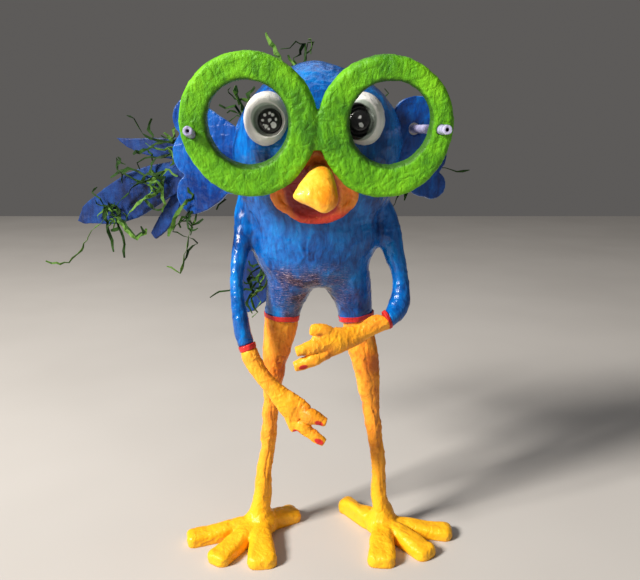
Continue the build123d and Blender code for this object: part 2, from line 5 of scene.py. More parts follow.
import bmesh
import bpy
import numpy as np
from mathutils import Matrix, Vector


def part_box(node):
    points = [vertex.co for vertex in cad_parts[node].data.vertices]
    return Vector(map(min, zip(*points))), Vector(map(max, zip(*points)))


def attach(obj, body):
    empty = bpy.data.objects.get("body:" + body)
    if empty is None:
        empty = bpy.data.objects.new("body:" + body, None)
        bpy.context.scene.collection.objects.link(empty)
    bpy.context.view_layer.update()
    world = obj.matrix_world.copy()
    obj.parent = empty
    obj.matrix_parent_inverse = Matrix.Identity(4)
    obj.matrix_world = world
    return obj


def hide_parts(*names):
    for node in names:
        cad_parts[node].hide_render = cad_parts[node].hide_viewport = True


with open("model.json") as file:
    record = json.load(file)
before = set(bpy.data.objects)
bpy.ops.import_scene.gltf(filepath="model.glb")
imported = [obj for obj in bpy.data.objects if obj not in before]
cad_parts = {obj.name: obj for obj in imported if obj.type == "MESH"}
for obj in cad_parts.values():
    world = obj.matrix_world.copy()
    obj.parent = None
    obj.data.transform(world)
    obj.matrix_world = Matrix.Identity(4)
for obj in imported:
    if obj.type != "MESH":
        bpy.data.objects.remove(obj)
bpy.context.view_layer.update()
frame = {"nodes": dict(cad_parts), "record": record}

MM = 0.001

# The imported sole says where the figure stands. The figure's own millimetres start on the ground,
# between its legs.
SOLE = {m["name"]: m["pos_m"] for m in frame["record"]["mounts"]}["sole_right"]
SOLE_FROM_MIDDLE = (-62, -10)
CX = SOLE[0] - SOLE_FROM_MIDDLE[0] * MM
CY = SOLE[1] - SOLE_FROM_MIDDLE[1] * MM

# Height of the hems, and how far from the middle each leg of the shorts has its centre (mm)
HEM_Z = 230
HEM_MIDDLE_X = 36.8
# The left forearm's run, from the wrist to the elbow
TOWARDS_ELBOW = np.array([0.93, 0.0, 0.37])
# Middle of each lens hole (mm), and how far the rims and the mouth lean back
LENS_MIDDLES = ((-56.3, -85, 417), (56.3, -85, 417))
LENS_LEAN = math.radians(12.5)
MOUTH_LEAN = math.radians(10.5)
SIDES = (("right", -1), ("left", 1))


def at(x, y, z):
    """A place in the figure's own millimetres, in metres in the frame."""
    return Vector((CX + x * MM, CY + y * MM, z * MM))


def figure_mm(coords):
    """Frame metres back to the figure's own millimetres."""
    return (coords - np.array([CX, CY, 0])) / MM


# ---------------------------------------------------------------- material nodes


def new_material(name):
    mat = bpy.data.materials.new(name)
    mat.use_nodes = True
    tree = mat.node_tree
    tree.nodes.clear()
    out = tree.nodes.new("ShaderNodeOutputMaterial")
    bsdf = tree.nodes.new("ShaderNodeBsdfPrincipled")
    tree.links.new(bsdf.outputs["BSDF"], out.inputs["Surface"])
    return mat, tree, bsdf


def node(tree, kind, **values):
    made = tree.nodes.new(kind)
    for key, value in values.items():
        if key in made.inputs:
            made.inputs[key].default_value = value
        else:
            setattr(made, key, value)
    return made


def ramp(tree, source, stops):
    made = tree.nodes.new("ShaderNodeValToRGB")
    while len(made.color_ramp.elements) < len(stops):
        made.color_ramp.elements.new(0.5)
    for element, (place, colour) in zip(made.color_ramp.elements, stops):
        element.position = place
        element.color = (*colour, 1)
    tree.links.new(source, made.inputs["Fac"])
    return made.outputs["Color"]


def mix(tree, factor, a, b, kind="MIX"):
    made = tree.nodes.new("ShaderNodeMix")
    made.data_type = "RGBA"
    made.blend_type = kind
    if isinstance(factor, (int, float)):
        made.inputs[0].default_value = factor
    else:
        tree.links.new(factor, made.inputs[0])
    for socket, value in ((made.inputs[6], a), (made.inputs[7], b)):
        if isinstance(value, tuple):
            socket.default_value = (*value[:3], 1)
        else:
            tree.links.new(value, socket)
    return made.outputs[2]


def calc(tree, kind, a, b=None, clamp=False):
    made = tree.nodes.new("ShaderNodeMath")
    made.operation = kind
    made.use_clamp = clamp
    for socket, value in ((made.inputs[0], a), (made.inputs[1], b)):
        if value is None:
            continue
        if isinstance(value, (int, float)):
            socket.default_value = value
        else:
            tree.links.new(value, socket)
    return made.outputs[0]


def fractal(tree, coords, scale, detail=4.0, rough=0.55, distort=0.0):
    made = node(tree, "ShaderNodeTexNoise", Scale=scale, Detail=detail, Roughness=rough,
                Distortion=distort)
    tree.links.new(coords, made.inputs["Vector"])
    return made.outputs["Fac"]


def turned(tree, coords, rotation, scale):
    made = node(tree, "ShaderNodeMapping")
    made.inputs["Rotation"].default_value = rotation
    made.inputs["Scale"].default_value = scale
    tree.links.new(coords, made.inputs["Vector"])
    return made.outputs["Vector"]


def attribute(tree, name):
    return node(tree, "ShaderNodeAttribute", attribute_name=name).outputs["Fac"]


# How fine each layer of the painted paper is: cells per metre
STROKE_SCALE = 170
BLOTCH_SCALE = 24
DRIFT_SCALE = 55.0
CREASE_SCALE = 110.0
RIPPLE_SCALE = 260
PIT_SCALE = 650
# Brush strokes and ripples are stretched along one way of their own
STROKE_STRETCH = (1, 1, 0.3)
RIPPLE_TURN = (0.5, 0.6, 0.3)
RIPPLE_STRETCH = (1, 1, 0.4)
# How far the drift moves the creases, and the depth of the wrinkles and of the grit, in metres
DRIFT_REACH = 0.022
WRINKLE_DEPTH = 0.0012
GRIT_DEPTH = 0.0005
# The paint is darker in the hollows, by these shares
HOLLOW_DARKENING = (0.38, 0.34, 0.36)


def paper_skin(name, light, mid, dark, rough=0.35, coat=0.4, coat_rough=0.15, wrinkle=0.5, grit=0.4,
               stroke_turn=(0, 0, 0), masks=(), wear_and_highlight=None):
    """Brush-painted, varnished papier-mache: strokes, pasted creases, paint darker in the hollows, and
    paler ridges that are partly worn paint and partly painted highlight.
    masks: (attribute, colour or painter, strength), painted over the base in order."""
    mat, tree, bsdf = new_material(name)
    link = tree.links.new
    coords = node(tree, "ShaderNodeTexCoord").outputs["Object"]
    along_strokes = turned(tree, coords, stroke_turn, STROKE_STRETCH)
    strokes = fractal(tree, along_strokes, STROKE_SCALE, detail=6, rough=0.65, distort=0.7)
    blotch = fractal(tree, coords, BLOTCH_SCALE, detail=3, rough=0.55, distort=0.3)
    shade = calc(tree, "ADD", calc(tree, "MULTIPLY", strokes, 0.45), calc(tree, "MULTIPLY", blotch, 0.55))
    colour = ramp(tree, shade, [(0.38, dark), (0.5, mid), (0.62, light)])

    # creases of the pasted paper, broken up by a slow shift
    drift = node(tree, "ShaderNodeTexNoise", Scale=DRIFT_SCALE, Detail=3.0)
    link(coords, drift.inputs["Vector"])
    scaled = node(tree, "ShaderNodeVectorMath", operation="SCALE")
    link(drift.outputs["Color"], scaled.inputs[0])
    scaled.inputs["Scale"].default_value = DRIFT_REACH
    shifted = node(tree, "ShaderNodeVectorMath", operation="ADD")
    link(coords, shifted.inputs[0])
    link(scaled.outputs[0], shifted.inputs[1])
    crease = node(tree, "ShaderNodeTexVoronoi", feature="DISTANCE_TO_EDGE", Scale=CREASE_SCALE)
    link(shifted.outputs[0], crease.inputs["Vector"])
    fold = calc(tree, "MULTIPLY", crease.outputs["Distance"], 4.0, clamp=True)
    along_ripples = turned(tree, coords, RIPPLE_TURN, RIPPLE_STRETCH)
    ripple = fractal(tree, along_ripples, RIPPLE_SCALE, detail=5, rough=0.6, distort=1.2)
    pits = fractal(tree, coords, PIT_SCALE, detail=4, rough=0.65, distort=0.4)
    height = calc(tree, "ADD", calc(tree, "MULTIPLY", fold, 0.35), calc(tree, "MULTIPLY", ripple, 0.8))
    bump = node(tree, "ShaderNodeBump", Strength=wrinkle, Distance=WRINKLE_DEPTH)
    link(height, bump.inputs["Height"])
    fine = node(tree, "ShaderNodeBump", Strength=grit, Distance=GRIT_DEPTH)
    link(calc(tree, "ADD", pits, strokes), fine.inputs["Height"])
    link(bump.outputs["Normal"], fine.inputs["Normal"])

    # second colours over the base: paint, and in some masks painted shade or painted reflection
    for mask, paint, strength in masks:
        amount = calc(tree, "MULTIPLY", attribute(tree, mask), strength, clamp=True)
        colour = mix(tree, amount, colour, paint(tree, coords) if callable(paint) else paint)

    # paint darker in the hollows; paler ridges, partly worn paint and partly painted highlight
    pointed = node(tree, "ShaderNodeNewGeometry").outputs["Pointiness"]
    hollow = ramp(tree, pointed, [(0.43, (1, 1, 1)), (0.495, (0, 0, 0))])
    hollow_tone = mix(tree, 1.0, colour, HOLLOW_DARKENING, "MULTIPLY")
    colour = mix(tree, calc(tree, "MULTIPLY", hollow, 0.6), colour, hollow_tone)
    ridge = ramp(tree, pointed, [(0.53, (0, 0, 0)), (0.63, (1, 1, 1))])
    wear_and_highlight_share = calc(tree, "MULTIPLY", calc(tree, "MULTIPLY", ridge, ripple), 1.1, clamp=True)
    pale = wear_and_highlight or tuple(min(1, c * 1.5 + 0.04) for c in light)
    colour = mix(tree, calc(tree, "MULTIPLY", wear_and_highlight_share, 0.4), colour, pale)
    link(colour, bsdf.inputs["Base Color"])

    smoother, rougher = rough * 0.75, min(1, rough * 1.35)
    gloss = ramp(tree, blotch, [(0.3, (smoother,) * 3), (0.7, (rougher,) * 3)])
    link(gloss, bsdf.inputs["Roughness"])
    link(fine.outputs["Normal"], bsdf.inputs["Normal"])
    link(bump.outputs["Normal"], bsdf.inputs["Coat Normal"])
    bsdf.inputs["Specular IOR Level"].default_value = 0.2
    bsdf.inputs["Coat Weight"].default_value = coat
    bsdf.inputs["Coat Roughness"].default_value = coat_rough
    return mat


def dry_brush_over_shade(tree, coords):
    """Pale and purplish brush hairs dragged over near-black navy; the navy is painted shade under the
    arch of the shorts.
    """
    along_hairs = turned(tree, coords, rotation=(0.2, 0.45, 0.3), scale=(0.7, 0.7, 5))
    hair = fractal(tree, along_hairs, scale=150, detail=6, rough=0.7, distort=3.0)
    return ramp(tree, hair, [
        (0.40, (0.002, 0.006, 0.035)),
        (0.5, (0.003, 0.018, 0.10)),
        (0.56, (0.14, 0.08, 0.14)),
        (0.64, (0.6, 0.47, 0.55)),
    ])


def shred_paper(name, light, dark):
    mat, tree, bsdf = new_material(name)
    coords = node(tree, "ShaderNodeTexCoord").outputs["Object"]
    tone = fractal(tree, coords, scale=130, detail=3, rough=0.6)
    fibre = fractal(tree, coords, scale=900, detail=4, rough=0.7)
    colour = ramp(tree, tone, [(0.35, dark), (0.65, light)])
    colour = mix(tree, calc(tree, "MULTIPLY", fibre, 0.35), colour, tuple(c * 0.4 for c in dark))
    tree.links.new(colour, bsdf.inputs["Base Color"])
    bsdf.inputs["Roughness"].default_value = 0.65
    bsdf.inputs["Specular IOR Level"].default_value = 0.15
    bump = node(tree, "ShaderNodeBump", Strength=0.3, Distance=0.0002)
    tree.links.new(fibre, bump.inputs["Height"])
    tree.links.new(bump.outputs["Normal"], bsdf.inputs["Normal"])
    return mat


def wire_metal():
    mat, tree, bsdf = new_material("armature_wire")
    coords = node(tree, "ShaderNodeTexCoord").outputs["Object"]
    cloud = fractal(tree, coords, scale=400, detail=3)
    tarnish = ramp(tree, cloud, [(0.3, (0.30, 0.29, 0.28)), (0.7, (0.55, 0.54, 0.52))])
    tree.links.new(tarnish, bsdf.inputs["Base Color"])
    bsdf.inputs["Metallic"].default_value = 0.9
    bsdf.inputs["Roughness"].default_value = 0.4
    return mat


# Paints, each as its light, middle and dark shade
BLUE = paper_skin(
    "blue_gloss", (0.001, 0.20, 0.62), (0.001, 0.095, 0.39), (0.001, 0.018, 0.12),
    rough=0.22, coat=0.4, coat_rough=0.1, wrinkle=0.42,
    masks=[("dry_brush_and_shade", dry_brush_over_shade, 1.0)], wear_and_highlight=(0.005, 0.2, 0.66))
EAR_BLUE = paper_skin(
    "ear_blue", (0.001, 0.12, 0.48), (0.001, 0.065, 0.33), (0.001, 0.02, 0.14),
    rough=0.3, coat=0.3, coat_rough=0.18, wrinkle=0.35,
    masks=[("edge", (0.3, 0.48, 0.8), 0.8)], wear_and_highlight=(0.05, 0.3, 0.75))
# The feathers are dark blue card, set darker still as painted shade
CARD_BLUE_AND_SHADE = paper_skin(
    "feather_blue", (0.001, 0.045, 0.21), (0.001, 0.022, 0.13), (0.001, 0.008, 0.05),
    rough=0.55, coat=0.12, coat_rough=0.3, wrinkle=0.3,
    masks=[("edge", (0.06, 0.2, 0.55), 0.7)], wear_and_highlight=(0.01, 0.12, 0.45))
# In the orange, the "dark" mask is painted shade: dark brown along each shin's crease and in the hollows
# of the left hand
ORANGE = paper_skin(
    "orange_satin", (1.0, 0.44, 0.04), (0.93, 0.32, 0.02), (0.6, 0.14, 0.01),
    rough=0.42, coat=0.25, coat_rough=0.25, wrinkle=0.6,
    masks=[("yellow", (0.96, 0.47, 0.012), 1.0), ("dark", (0.22, 0.035, 0.01), 0.85),
           ("nail", (0.6, 0.022, 0.022), 1.0)],
    wear_and_highlight=(1.0, 0.72, 0.25))
# On the rims, the hole walls are painted dark green as shade; the pale line at each hole's back edge is
# bare paper
LIME = paper_skin(
    "lime_rims", (0.18, 0.52, 0.008), (0.115, 0.40, 0.006), (0.045, 0.2, 0.005),
    rough=0.5, coat=0.12, coat_rough=0.3, wrinkle=1.0, grit=0.9, stroke_turn=(0, 0.8, 0),
    masks=[("hole_wall_shade", (0.03, 0.11, 0.007), 0.95), ("bare", (0.6, 0.63, 0.54), 0.9)],
    wear_and_highlight=(0.42, 0.72, 0.16))
RED = paper_skin(
    "red_bands", (0.72, 0.035, 0.03), (0.58, 0.022, 0.022), (0.33, 0.012, 0.015), rough=0.4, coat=0.3)
# In the lip, the red along its lower edge is painted shade
LIP = paper_skin(
    "lip_and_mouth", (0.92, 0.32, 0.05), (0.8, 0.2, 0.03), (0.55, 0.09, 0.02), rough=0.42, coat=0.25,
    masks=[("maroon", (0.24, 0.028, 0.032), 1.0), ("lip_underside_shade", (0.52, 0.035, 0.022), 0.95)])
# On the bill, the side mask is painted shade: darker orange on the flank turned away from the key light
BEAK = paper_skin(
    "beak_yellow", (1.0, 0.6, 0.09), (0.97, 0.46, 0.03), (0.82, 0.28, 0.012),
    rough=0.32, coat=0.5, coat_rough=0.16, wrinkle=0.3,
    masks=[("side", (0.82, 0.2, 0.01), 0.85)], wear_and_highlight=(1.0, 0.8, 0.3))
WHITE = paper_skin(
    "eye_white", (0.88, 0.87, 0.85), (0.78, 0.78, 0.77), (0.58, 0.59, 0.6),
    rough=0.45, coat=0.25, coat_rough=0.2, wrinkle=0.3,
    masks=[("iris", (0.36, 0.42, 0.38), 1.0), ("well", (0.010, 0.010, 0.012), 1.0)])
# The pupils' pale marks: two painted dots on the left pupil, painted reflections on the right one
BLACK = paper_skin(
    "pupil_black", (0.02, 0.02, 0.022), (0.012, 0.012, 0.014), (0.006, 0.006, 0.008),
    rough=0.3, coat=0.6, coat_rough=0.1, wrinkle=0.4,
    masks=[("dot_and_reflection", (0.72, 0.73, 0.75), 1.0)], wear_and_highlight=(0.03, 0.03, 0.035))
# On the rods, the bore mask is painted shade: dark inside their hollow ends
LAVENDER = paper_skin(
    "lavender_rods", (0.58, 0.58, 0.82), (0.42, 0.41, 0.64), (0.22, 0.21, 0.36), rough=0.4, coat=0.3,
    masks=[("bore_shade", (0.10, 0.09, 0.15), 0.9)])
NEWSPRINT = paper_skin(
    "newsprint", (0.55, 0.53, 0.46), (0.45, 0.43, 0.37), (0.3, 0.29, 0.26), rough=0.8, coat=0.0)
METAL = wire_metal()
SHREDS = {
    "dark": shred_paper("shred_dark", (0.022, 0.075, 0.008), (0.005, 0.02, 0.003)),
    "light": shred_paper("shred_light", (0.13, 0.27, 0.045), (0.035, 0.11, 0.012)),
}


# ---------------------------------------------------------------- mesh tools


def mesh_object(name, verts, faces):
    mesh = bpy.data.meshes.new(name)
    mesh.from_pydata([tuple(v) for v in verts], [], [tuple(f) for f in faces])
    mesh.update()
    obj = bpy.data.objects.new(name, mesh)
    bpy.context.scene.collection.objects.link(obj)
    return obj


def copy_of(name, nodes, grow=None):
    """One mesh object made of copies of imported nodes.
    grow: {node: mm to swell it}, so that neighbouring solids overlap."""
    verts, faces = [], []
    for label in nodes:
        source = frame["nodes"][label].data
        start = len(verts)
        swell = (grow or {}).get(label, 0) * MM
        verts += [v.co + v.normal * swell for v in source.vertices]
        faces += [tuple(start + i for i in p.vertices) for p in source.polygons]
    obj = mesh_object(name, verts, faces)
    work = bmesh.new()
    work.from_mesh(obj.data)
    bmesh.ops.remove_doubles(work, verts=work.verts, dist=1e-6)
    work.to_mesh(obj.data)
    work.free()
    return obj


def pasted(obj, voxel, times):
    """Turn overlapping solids into one even skin (voxels in mm), smoothed so many times."""
    made = obj.modifiers.new("voxel", "REMESH")
    made.mode = "VOXEL"
    made.voxel_size = voxel * MM * 1.0
    graph = bpy.context.evaluated_depsgraph_get()
    skin = bpy.data.meshes.new_from_object(obj.evaluated_get(graph))
    obj.modifiers.clear()
    old = obj.data
    obj.data = skin
    bpy.data.meshes.remove(old)
    relax(obj, times)
    return obj


def coords_of(obj):
    flat = np.empty(len(obj.data.vertices) * 3)
    obj.data.vertices.foreach_get("co", flat)
    return flat.reshape(-1, 3)


def normals_of(obj):
    flat = np.empty(len(obj.data.vertices) * 3, dtype=np.float32)
    obj.data.vertices.foreach_get("normal", flat)
    return flat.reshape(-1, 3).astype(float)


def set_coords(obj, coords):
    obj.data.vertices.foreach_set("co", coords.ravel())
    obj.data.update()


def relax(obj, times, weight=None):
    """Even out the skin by drawing each vertex to the middle of its neighbours.
    weight: share of that move for each vertex."""
    edges = np.empty(len(obj.data.edges) * 2, dtype=np.int64)
    obj.data.edges.foreach_get("vertices", edges)
    a, b = edges.reshape(-1, 2).T
    coords = coords_of(obj)
    count = len(coords)
    links = np.maximum(np.bincount(a, minlength=count) + np.bincount(b, minlength=count), 1)
    pull = 0.5 if weight is None else 0.5 * weight[:, None]
    for _ in range(times):
        middle = np.empty_like(coords)
        for axis in range(3):
            total = np.bincount(a, coords[b, axis], count) + np.bincount(b, coords[a, axis], count)
            middle[:, axis] = total / links
        coords = coords + (middle - coords) * pull
    set_coords(obj, coords)


# Large odd numbers that scatter a grid cell's hash, and the largest value that it can take
HASH_X, HASH_Y, HASH_Z, HASH_SEED, HASH_STIR = 374761393, 668265263, 2147483647, 974711, 1274126177
HASH_TOP = 0xFFFFFF


def value_noise(points, scale, seed):
    """Smooth repeatable noise in -1..1 at many points."""
    p = points * scale + np.array([seed * 7.31, seed * 3.77, seed * 5.13])
    cell = np.floor(p).astype(np.int64)
    part = p - cell
    part = part * part * (3 - 2 * part)
    total = np.zeros(len(p))
    for dx in (0, 1):
        for dy in (0, 1):
            for dz in (0, 1):
                h = (cell[:, 0] + dx) * HASH_X + (cell[:, 1] + dy) * HASH_Y
                h = h + (cell[:, 2] + dz) * HASH_Z + seed * HASH_SEED
                h = (h ^ (h >> 13)) * HASH_STIR
                h = (h ^ (h >> 16)) & HASH_TOP
                weight = part[:, 0] if dx else 1 - part[:, 0]
                weight = weight * (part[:, 1] if dy else 1 - part[:, 1])
                weight = weight * (part[:, 2] if dz else 1 - part[:, 2])
                total += weight * (h / HASH_TOP * 2 - 1)
    return total


# The folds wander: how far (m) and how often (per metre)
FOLD_WANDER = 0.002
FOLD_WANDER_SCALE = 90


def crumple(obj, lumps, lump_size, folds, fold_size, seed, hold=None):
    """Push the surface in and out like pasted paper: broad lumps and sharp little folds, in mm.
    hold: share of the push that each vertex takes."""
    coords = coords_of(obj)
    push = value_noise(coords, 1000 / lump_size, seed) * lumps
    wander = np.stack([value_noise(coords, FOLD_WANDER_SCALE, seed + i) for i in (11, 12, 13)], 1)
    warp = coords + FOLD_WANDER * wander
    ridge = 1 - np.abs(value_noise(warp, 1000 / fold_size, seed + 1))
    push += (ridge ** 3 - 0.35) * folds
    push += value_noise(warp, 1000 / (fold_size * 0.45), seed + 2) * folds * 0.35
    if hold is not None:
        push = push * hold(coords)
    set_coords(obj, coords + normals_of(obj) * push[:, None] * MM)


def patchy(points, scale, seed, middle, spread=1):
    """Noise held in 0..1 for uneven paint: `middle`, and up to `spread` more or less."""
    return np.clip(middle + spread * value_noise(points, scale, seed), 0, 1)


def paint_mask(obj, name, values):
    layer = obj.data.attributes.new(name, "FLOAT", "POINT")
    layer.data.foreach_set("value", np.clip(values, 0, 1).astype(np.float32))


def ramped(values, start, end):
    """0 at start, 1 at end, held outside."""
    return np.clip((values - start) / (end - start), 0, 1)


def ball_mask(mm, place, radius, soft):
    """1 near a place, fading to 0 over the outer share `soft` of its radius (mm)."""
    return ramped(np.linalg.norm(mm - np.array(place), axis=1), radius, radius * (1 - soft))


def settle(obj, body, nodes, mat):
    """Finish a piece: give it its paint, hang it on the body it rides with, and hide the imported nodes
    that it replaces.
    """
    obj.data.materials.clear()
    obj.data.materials.append(mat)
    obj.data.shade_smooth()
    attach(obj, body)
    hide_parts(*nodes)


def ring_loft(name, stations, around=40, between=8):
    """Skin over lopsided rings, smoothed from station to station.
    Station: (x, y, z, reach left, reach right, half height, pitch in degrees)."""
    rows = np.array(stations, dtype=float)
    fine = []
    for i in range(len(rows) - 1):
        start, end = rows[i], rows[i + 1]
        before, after = rows[max(i - 1, 0)], rows[min(i + 2, len(rows) - 1)]
        for step in range(between + (i == len(rows) - 2)):
            t = step / between
            bend = start * (2 * t ** 3 - 3 * t * t + 1) + end * (3 * t * t - 2 * t ** 3)
            leaving = (end - before) * 0.5 * (t ** 3 - 2 * t * t + t)
            arriving = (after - start) * 0.5 * (t ** 3 - t * t)
            fine.append(bend + leaving + arriving)
    verts, faces = [], []
    for x, y, z, left, right, half, pitch in fine:
        tilt = math.radians(pitch)
        for k in range(around):
            turn = 2 * math.pi * k / around
            out = math.cos(turn) * (right if math.cos(turn) > 0 else left)
            up = math.sin(turn) * half
            verts.append(at(x + out, y - up * math.sin(tilt), z + up * math.cos(tilt)))
    for i in range(len(fine) - 1):
        for k in range(around):
            a, b = i * around + k, i * around + (k + 1) % around
            faces.append((a, b, b + around, a + around))
    faces.append(tuple(range(around - 1, -1, -1)))
    faces.append(tuple(range((len(fine) - 1) * around, len(fine) * around)))
    return mesh_object(name, verts, faces)


# ---------------------------------------------------------------- trunk, head and sleeves


def hem_slant(mm):
    """The hems sit a little high and hang lower on their inner side: each point's move upwards (mm)."""
    inward = HEM_MIDDLE_X - np.abs(mm[:, 0])
    slope = np.where(mm[:, 0] < 0, 0.13, 0.18)
    return (2.2 - slope * inward) * ramped(mm[:, 2], HEM_Z + 20, HEM_Z + 2) * (np.abs(mm[:, 0]) < 58)


# How much higher the crown is than its solid (mm)
CROWN_LIFT = 3.2


def make_body():
    shells = ["torso_shell", "head_shell", "sleeve_right", "sleeve_left"]
    cores = ["torso_core", "head_core"]
    solids = copy_of("blue_body", shells + cores, {"torso_core": 1.2, "head_core": 1.2})
    skin = pasted(solids, voxel=1.4, times=8)
    mm = figure_mm(coords_of(skin))
    # the seams round the trunk and over the shoulders are pasted smooth
    trunk = ramped(np.abs(mm[:, 0]), 66, 56) * ramped(mm[:, 2], 236, 246) * ramped(mm[:, 2], 352, 340)
    shoulder = ramped(mm[:, 2], 292, 302) * ramped(mm[:, 2], 356, 346) * ramped(mm[:, 1], -56, -48)
    relax(skin, times=60, weight=np.maximum(trunk, shoulder))
    crumple(skin, lumps=0.9, lump_size=24, folds=0.6, fold_size=9, seed=3)
    coords = coords_of(skin)
    mm = figure_mm(coords)
    coords[:, 2] += hem_slant(mm) * MM
    coords[:, 2] += CROWN_LIFT * MM * ramped(mm[:, 2], 425, 468) * (np.abs(mm[:, 0]) < 60)
    set_coords(skin, coords)
    # dry brush marks between the legs of the shorts and down one inner leg, over near-black navy painted
    # as shade
    crotch = ramped(mm[:, 2], 296, 282) * ramped(mm[:, 2], 240, 256)
    crotch = crotch * ramped(np.abs(mm[:, 0] + 8), 42, 24)
    inner_leg = ramped(mm[:, 2], 262, 254) * ramped(np.abs(mm[:, 0] + 24), 14, 8)
    streaks = patchy(coords, scale=110, seed=5, middle=0.75, spread=0.8)
    paint_mask(skin, "dry_brush_and_shade", np.maximum(crotch, inner_leg) * (mm[:, 1] < 8) * streaks)
    settle(skin, "bird", shells, BLUE)


def make_hem(name):
    hem = pasted(copy_of("hem_" + name, ["hem_band_" + name]), voxel=0.4, times=3)
    coords = coords_of(hem)
    mm = figure_mm(coords)
    # the band is a little narrower than its solid: its lower edge sits higher
    top = coords[:, 2].max()
    coords[:, 2] = top - (top - coords[:, 2]) * 0.82
    coords[:, 2] += (hem_slant(mm) + value_noise(coords, scale=90, seed=17) * 0.6) * MM
    set_coords(hem, coords)
    crumple(hem, lumps=0.25, lump_size=10, folds=0.15, fold_size=5, seed=5)
    settle(hem, "bird", ["hem_band_" + name], RED)


def make_cuff(name):
    cuff = pasted(copy_of("cuff_band_" + name, ["cuff_" + name]), voxel=0.5, times=3)
    if name == "left":
        # this cuff is narrower: its edge at the wrist sits nearer the elbow
        coords = coords_of(cuff)
        reach = (coords - coords.mean(0)) @ TOWARDS_ELBOW
        set_coords(cuff, coords + np.outer((reach.max() - reach) * 0.45, TOWARDS_ELBOW))
    crumple(cuff, lumps=0.25, lump_size=8, folds=0.15, fold_size=5, seed=8)
    settle(cuff, "bird", ["cuff_" + name], RED)


# ---------------------------------------------------------------- legs, feet and hands


# Middle of the ankles: their distance from the figure's middle, and their depth (mm)
ANKLE_X = 58
ANKLE_Y = -10
# What lies lower than this is pressed flat to the ground (m)
SOLE_PRESS = 0.0012


def above_sole(coords):
    """0 at the sole, 1 from a few millimetres up."""
    return ramped(coords[:, 2], 0.001, 0.006)


def make_leg(name, side):
    """Leg and foot are one pasted skin with a flat sole; the paint turns yellow towards the foot."""
    limb = pasted(copy_of("leg_and_foot_" + name, ["leg_" + name, "foot_" + name]), voxel=1.0, times=14)
    crumple(limb, lumps=1.1, lump_size=13, folds=0.65, fold_size=8, seed=21 + side,
            hold=above_sole)
    coords = coords_of(limb)
    mm = figure_mm(coords)
    normals = normals_of(limb)
    # a long pasted crease runs down the front of each shin
    wobble = value_noise(coords * np.array([0, 0, 1]), scale=45, seed=3) * 0.12
    along = normals @ np.array([0.55, -0.83, 0]) + wobble
    crease = ramped(np.abs(along - 0.93), 0.07, 0.0) * ramped(coords[:, 2], 0.03, 0.05)
    coords -= normals * (crease * 0.9 * MM)[:, None]
    # toes taper towards their tips, and the left foot's hind toe is short and set back
    away = np.hypot(mm[:, 0] - side * ANKLE_X, mm[:, 1] - ANKLE_Y)
    coords[:, 2] *= 1 - 0.28 * ramped(away, 26, 58) * ramped(mm[:, 2], 30, 22)
    hind = ramped(mm[:, 0], 46, 24) * ramped(mm[:, 2], 40, 30) if side > 0 else np.zeros(len(coords))
    coords += hind[:, None] * np.array([3.5, 8.0, 0]) * MM
    coords[:, 2] *= 1 + 0.3 * hind
    # the sole is flat, and the top of the leg reaches up into the shorts
    coords[coords[:, 2] < SOLE_PRESS, 2] = 0
    coords[:, 2] += ramped(coords[:, 2], (HEM_Z - 14) * MM, HEM_Z * MM) * 6 * MM
    set_coords(limb, coords)
    paint_mask(limb, "yellow", ramped(coords[:, 2], 0.12, 0.03))
    # painted shade: dark brown along the crease down each shin
    paint_mask(limb, "dark", crease * 0.45 * patchy(coords, scale=60, seed=7, middle=0.5))
    settle(limb, "bird", ["leg_" + name, "foot_" + name], ORANGE)


# Nails: place, half length, half width and slope in degrees, seen from the front
NAILS = {
    "right": [((0, -60, 147.8), 4.4, 2.8, -28), ((0, -60, 129.6), 4.8, 3.0, -28),
              ((-21, -54, 137), 3.8, 2.8, -20)],
    "left": [((-14.0, -66, 203.6), 4.4, 2.4, 12)],
}
# Painted shade on the left hand, as dark brown ovals: between thumb and finger, and under the first
# finger's tip
SHADE_OVALS = {
    "right": [],
    "left": [((0.5, -60, 232), 4.5, 2.6, 10), ((-15, -66, 214.5), 5.5, 2.4, 20)],
}
# Fuller places on the hands: place, radius and how far they swell (mm)
KNUCKLES = {
    "right": [((-6, -57, 156), 12, 3.0), ((-13, -55, 146), 9, 2.6)],
    "left": [((-4, -62, 210), 10, 1.5)],
}


def oval_marks(mm, marks, sharp):
    """Painted ovals seen from the front, as a mask that fades from `sharp` of their size outwards."""
    mask = np.zeros(len(mm))
    for place, long, wide, slope in marks:
        run = math.radians(slope)
        dx, dz = mm[:, 0] - place[0], mm[:, 2] - place[2]
        u = (dx * math.cos(run) + dz * math.sin(run)) / long
        v = (dz * math.cos(run) - dx * math.sin(run)) / wide
        mask = np.maximum(mask, ramped(np.hypot(u, v), 1.1, sharp))
    return mask


